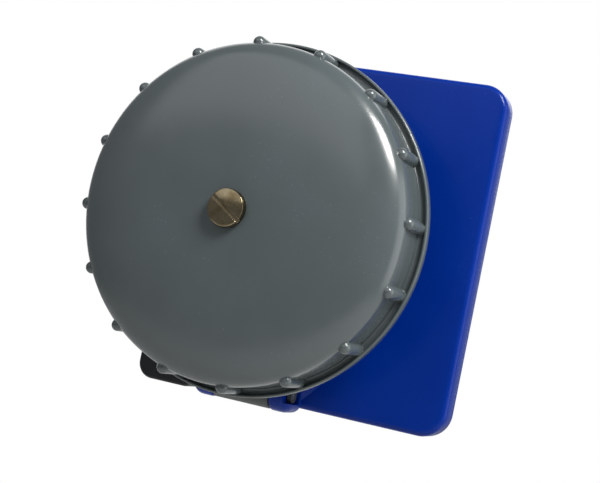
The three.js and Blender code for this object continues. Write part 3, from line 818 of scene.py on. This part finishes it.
def hingeParts(back):
    # the arm down to the hinge, its barrel and the two ears that enter the lugs' notches
    h = housing
    half = h["armHalf"]
    arm = cuboid("arm", (-half, hingeLine.y - h["armDepth"], hingeLine.z),
                 (half, back, h["armSunk"] - h["radius"]))
    pickEdges(arm, lambda a, b: abs(a.z - b.z) > 10)
    bevelPicked(h["armRound"], 4)
    barrel = barAlong("barrel", "X", h["barrel"], -half, half, hingeLine, 72)
    parts = [arm, bevelAll(barrel, h["barrelEdge"], 3)]
    for side in (-1, 1):
        low = side * h["earMiddle"] - h["earHalf"]
        high = side * h["earMiddle"] + h["earHalf"]
        parts.append(barAlong("earEnd", "X", h["ear"], low, high, hingeLine, 40))
        parts.append(cuboid("ear", (low, hingeLine.y - h["ear"], hingeLine.z),
                            (high, back, h["earSunk"] - h["radius"])))
    return parts


def buildHousing():
    h = housing
    drum = turned("mechanismHousing", housingRings(), h["sides"], (0, gongPlane, 0))
    back = gongPlane - h["back"]
    floorY = gongPlane - h["floor"] + h["sunk"]
    boardPlaces = [cadMiddle("board_screw_1"), cadMiddle("board_screw_2")]

    additions = hingeParts(back)
    for x in h["pillarXs"]:
        for z in h["pillarZs"]:
            additions.append(barAlong("pillar", "Y", h["pillar"], h["pillarTop"], floorY, (x, 0, z), 36))
    low, high = cadBox("contact_block")
    aside, above = h["standRoom"]
    additions.append(cuboid("contactStand", (low.x - aside, h["standTop"], low.z - above),
                            (high.x + aside, floorY, high.z + above)))
    for place in boardPlaces:
        additions.append(barAlong("boardPillar", "Y", h["boardPillar"], h["boardTop"], floorY, place, 36))
    # thin ribs stiffen the floor between the boss and the wall
    ribStart, ribEnd = h["bossRadius"] - 1, h["radius"] - h["wall"] + 0.5
    for turn in h["floorRibs"]:
        rib = cuboid("floorRib", (ribStart, floorY - h["ribRise"], -h["ribHalf"]),
                     (ribEnd, floorY, h["ribHalf"]))
        rib.rotation_euler = (0, radians(turn), 0)
        additions.append(applyPlace(rib))
    combine(drum, additions)

    holes = [
        barAlong("bushRoom", "X", h["bushRoom"], -h["bushSpan"], h["bushSpan"], hingeLine, 40),
        barAlong("pinRoom", "X", h["pinRoom"], -h["pinSpan"], h["pinSpan"], hingeLine, 32),
        barAlong("blockScrewRoom", "Y", h["standScrewRoom"], *h["standScrewSpan"],
                 cadMiddle("contact_block"), 24),
        barAlong("wireRoom", "Y", h["wireRoom"], floorY - 3, back + 1, h["wirePlace"], 48),
    ]
    for place in boardPlaces:
        start, end = h["boardTop"] - 1, floorY - 2
        holes.append(barAlong("boardScrewRoom", "Y", h["boardScrewRoom"], start, end, place, 24))
    carve(drum, holes)
    standIn(smooth(drum, 32), "housingGrey", "housing")


buildHousing()
print("housing done")


solenoid = {
    "plate": 2.0, "edge": 0.5, "tubeRoom": 4.8, "rodRoom": 2.5, "screwRoom": 1.7,
    "bore": 4.8, "hub": 6.0, "rim": 11.0, "rimChamfer": 0.4, "flange": 1.6,
    "core": 6.3, "turns": 24, "turnSteps": 6, "wireRise": 0.28, "wireRound": 0.6,
}


def buildSolenoidFrame():
    s = solenoid
    low, high = cadBox("solenoid_frame")
    back = cuboid("solenoidFrame", (low.x, high.y - s["plate"], low.z), high)
    combine(back, [
        cuboid("framePlate", low, (high.x, high.y, low.z + s["plate"])),
        cuboid("framePlate", (low.x, low.y, high.z - s["plate"]), high),
    ])
    holes = [barAlong("tubeRoom", "Z", s["tubeRoom"], low.z - 1, low.z + s["plate"] + 1, coilLine, 48)]
    holes.append(barAlong("rodRoom", "Z", s["rodRoom"], high.z - s["plate"] - 1, high.z + 1, coilLine, 48))
    for node in ("frame_screw_1", "frame_screw_2"):
        start, end = high.y - s["plate"] - 2, high.y + 1
        holes.append(barAlong("screwRoom", "Y", s["screwRoom"], start, end, cadMiddle(node), 32))
    carve(back, holes)
    bevelAll(back, s["edge"], 3, 60)
    standIn(smooth(back, 32), "softIron", "solenoid_frame")


def buildBobbin():
    s = solenoid
    low, high = cadBox("bobbin")
    bore, hub, rim, edge = s["bore"], s["hub"], s["rim"], s["rimChamfer"]
    lower, upper = low.z + s["flange"], high.z - s["flange"]
    bobbin = turned("bobbinSpool", [
        (bore, low.z), (rim - edge, low.z), (rim, low.z + edge), (rim, lower - edge), (rim - edge, lower),
        (hub, lower), (hub, upper),
        (rim - edge, upper), (rim, upper + edge), (rim, high.z - edge), (rim - edge, high.z), (bore, high.z),
        (bore, low.z)], 96, (0, coilLine.y, 0), True)
    standIn(smooth(bobbin, 32), "blackMoulding", "bobbin")


def buildWinding():
    s = solenoid
    low, high = cadBox("winding")
    outer, pitch = (high.x - low.x) / 2, (high.z - low.z) / s["turns"]
    rings = [(s["core"], low.z)]
    for i in range(s["turns"] * s["turnSteps"] + 1):
        turn = i / s["turnSteps"]
        swell = abs(sin(pi * turn)) ** s["wireRound"]
        rings.append((outer - s["wireRise"] * (1 - swell), low.z + pitch * turn))
    rings += [(s["core"], high.z), (s["core"], low.z)]
    coil = turned("coilWinding", rings, 72, (0, coilLine.y, 0), True)
    standIn(smooth(coil, 80), "winding", "winding")


striker = {
    "sides": 64, "plungerChamfer": 0.5, "rodChamfer": 0.3, "collarChamfer": 0.2, "collarHole": 1.9,
    "tipChamfer": 0.3, "tipFoot": 1.0, "noseRise": 0.75, "noseSteps": 9, "noseEnd": 0.25,
}


def standingRings(node, edge):
    # a plain bar along Z with chamfered ends, from the node's box
    low, high = cadBox(node)
    radius = (high.x - low.x) / 2
    rings = [(radius - edge, low.z), (radius, low.z + edge), (radius, high.z - edge), (radius - edge, high.z)]
    return rings, (low + high) / 2, radius


def strikerBar(name, rings, middle, finish, node, angle=32):
    bar = turned(name, rings, striker["sides"], (middle.x, middle.y, 0), True)
    standIn(smooth(bar, angle), finish, node)


def buildStriker():
    s = striker
    rings, middle, radius = standingRings("plunger", s["plungerChamfer"])
    strikerBar("plungerShape", rings, middle, "softIron", "plunger")
    rings, middle, radius = standingRings("striker_rod", s["rodChamfer"])
    strikerBar("striker_rodShape", rings, middle, "zincSteel", "striker_rod")

    rings, middle, radius = standingRings("striker_tip", s["tipChamfer"])
    foot, top = rings[0][1], rings[-1][1]
    tip = [(s["tipFoot"], foot), *rings[:2], (radius, top - radius)]
    for i in range(s["noseSteps"]):
        angle = radians(i * 9)
        tip.append((radius * cos(angle), top - radius * s["noseRise"] * (1 - sin(angle))))
    strikerBar("strikerTip", tip + [(s["noseEnd"], top)], middle, "nylon", "striker_tip", 40)

    rings, middle, radius = standingRings("spring_collar", s["collarChamfer"])
    hole, foot, top = s["collarHole"], rings[0][1], rings[-1][1]
    collar = [(hole, foot), *rings, (hole, top), (hole, foot)]
    strikerBar("springCollar", collar, middle, "zincSteel", "spring_collar")


returnSpring = {"wire": 0.38, "wireSides": 12, "turns": 7, "steps": 36}


def buildReturnSpring():
    r = returnSpring
    low, high = cadBox("return_spring")
    middle = (low + high) / 2
    mean = (high.x - low.x) / 2 - r["wire"]
    deselectAll()
    bpy.ops.mesh.primitive_circle_add(
        vertices=r["wireSides"], radius=r["wire"] * mm, fill_type="NGON", rotation=(pi / 2, 0, 0),
        location=(mean * mm, 0, 0))
    spring = applyPlace(named("returnSpring"))
    rise = (high.z - low.z - 2 * r["wire"]) / r["turns"]
    modify(spring, "SCREW", axis="Z", angle=2 * pi, screw_offset=rise * mm, iterations=r["turns"],
           steps=r["steps"], render_steps=r["steps"], use_merge_vertices=True, merge_threshold=1e-6)
    only(spring)
    bpy.ops.object.mode_set(mode="EDIT")
    bpy.ops.mesh.select_all(action="SELECT")
    bpy.ops.mesh.normals_make_consistent(inside=False)
    leaveEdit()
    spring.location = (middle.x * mm, middle.y * mm, (low.z + r["wire"]) * mm)
    applyPlace(spring)
    dress(smooth(spring, 60), "zincSteel")
    # it stretches between the solenoid's frame and the moving collar
    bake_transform(spring)
    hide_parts("return_spring")


post = {
    # seat, step and the tapped hole's depths count from the gong's back face
    "wide": 7.0, "slim": 5.0, "foot": 3.2, "seat": -18.3, "step": 2.0, "taper": 2.0,
    "chamfer": 0.3, "topChamfer": 0.4, "tap": 4.1, "tapDepth": 8.0, "tapPoint": 6.4, "pointRadius": 1.0,
    "centre": 0.3, "sides": 72,
}
gongWasher = {"hole": 4.3, "radius": 9.0, "chamfer": 0.3, "sides": 72}


def buildPost():
    p = post
    low, high = cadBox("gong_post")
    wide, slim, foot, edge, topEdge = p["wide"], p["slim"], p["foot"], p["chamfer"], p["topChamfer"]
    seat, step, front, back = p["seat"], p["step"], gongPlane - low.y, gongPlane - high.y
    outside = [
        (p["centre"], back), (foot - edge, back), (foot, back + edge), (foot, seat), (wide - edge, seat),
        (wide, seat + edge), (wide, step), (slim, step + p["taper"]), (slim, front - topEdge),
        (slim - topEdge, front),
    ]
    tapped = [
        (p["tap"], front), (p["tap"], p["tapDepth"]), (p["pointRadius"], p["tapPoint"]),
        (p["centre"], p["tapPoint"]),
    ]
    shape = turned("gongPost", outside + tapped, p["sides"], (0, gongPlane, 0))
    standIn(smooth(shape, 32), "zincSteel", "gong_post")


def buildWasher():
    w = gongWasher
    low, high = cadBox("gong_washer")
    hole, radius, edge = w["hole"], w["radius"], w["chamfer"]
    front, back = gongPlane - low.y, gongPlane - high.y
    washer = turned("gongWasher", [
        (hole, back), (radius - edge, back), (radius, back + edge), (radius, front - edge),
        (radius - edge, front), (hole, front), (hole, back)], w["sides"], (0, gongPlane, 0))
    standIn(smooth(washer, 32), "rubber", "gong_washer")


grommet = {"hole": 4.0, "neck": 5.9, "flange": 7.5, "groove": 3.0, "chamfer": 0.4, "sides": 72}
insert = {
    "hole": 2.1, "radius": 4.2, "waist": 3.9, "waistStart": 3.0, "waistEnd": 4.8,
    "chamfer": 0.2, "endChamfer": 0.3, "sides": 48,
}


def buildGrommet():
    g = grommet
    low, high = cadBox("cable_grommet")
    middle = (low + high) / 2
    front, back = -low.y, -high.y
    hole, neck, flange, groove, edge = g["hole"], g["neck"], g["flange"], g["groove"], g["chamfer"]
    rings = [
        (hole, back), (neck - edge, back), (neck, back + edge), (neck, groove), (flange - edge, groove),
        (flange, groove + edge), (flange, front - edge), (flange - edge, front), (hole + edge, front),
        (hole, front - edge), (hole, back),
    ]
    shape = turned("cableGrommet", rings, g["sides"], (middle.x, 0, middle.z))
    standIn(smooth(shape, 32), "rubber", "cable_grommet")


def buildInsert(node):
    g = insert
    low, high = cadBox(node)
    middle, length = (low + high) / 2, -low.y
    hole, radius, waist, edge, end = g["hole"], g["radius"], g["waist"], g["chamfer"], g["endChamfer"]
    start, stop = g["waistStart"], g["waistEnd"]
    rings = [
        (hole, edge), (hole + edge, 0), (radius - edge, 0), (radius, edge), (radius, start),
        (waist, start + edge), (waist, stop - edge), (radius, stop), (radius, length - end),
        (radius - end, length), (hole, length), (hole, edge),
    ]
    shape = turned(node + "Shape", rings, g["sides"], (middle.x, 0, middle.z))
    standIn(smooth(shape, 32), "brass", node)


rearCover = {"corner": 7.7, "grommetRoom": 6.3, "columnRoom": 10.3, "insertRoom": 6.6, "screwRoom": 1.9}


def buildRearCover():
    r = rearCover
    low, high = cadBox("rear_cover")
    cover = cuboid("rearCover", low, high)
    pickEdges(cover, lambda a, b: abs(a.y - b.y) > 1)
    bevelPicked(r["corner"], 10)
    start, end = low.y - 1, high.y + 1
    holes = [barAlong("hole", "Y", r["grommetRoom"], start, end, cadMiddle("cable_grommet"), 64)]
    holes.append(barAlong("hole", "Y", r["columnRoom"], start, end, (0, 0, 0), 80))
    for i in range(1, 5):
        for node, radius in ((f"fixing_insert_{i}", r["insertRoom"]), (f"cover_screw_{i}", r["screwRoom"])):
            holes.append(barAlong("hole", "Y", radius, start, end, cadMiddle(node), 48))
    carve(cover, holes)
    standIn(smooth(cover, 32), "zincSteel", "rear_cover")


buildSolenoidFrame()
buildBobbin()
buildWinding()
buildStriker()
buildReturnSpring()
buildPost()
buildWasher()
buildGrommet()
for i in range(1, 5):
    buildInsert(f"fixing_insert_{i}")
buildRearCover()
print("small pieces done")

# every CAD node is dressed as well, also where a finished piece takes its place
finishOfSlot = {slot: finish for finish, slot in slotNames.items()}
for row in frame["record"]["subparts"]:
    dress(frame["nodes"][row["node"]], finishOfSlot[row["material_slot"]])
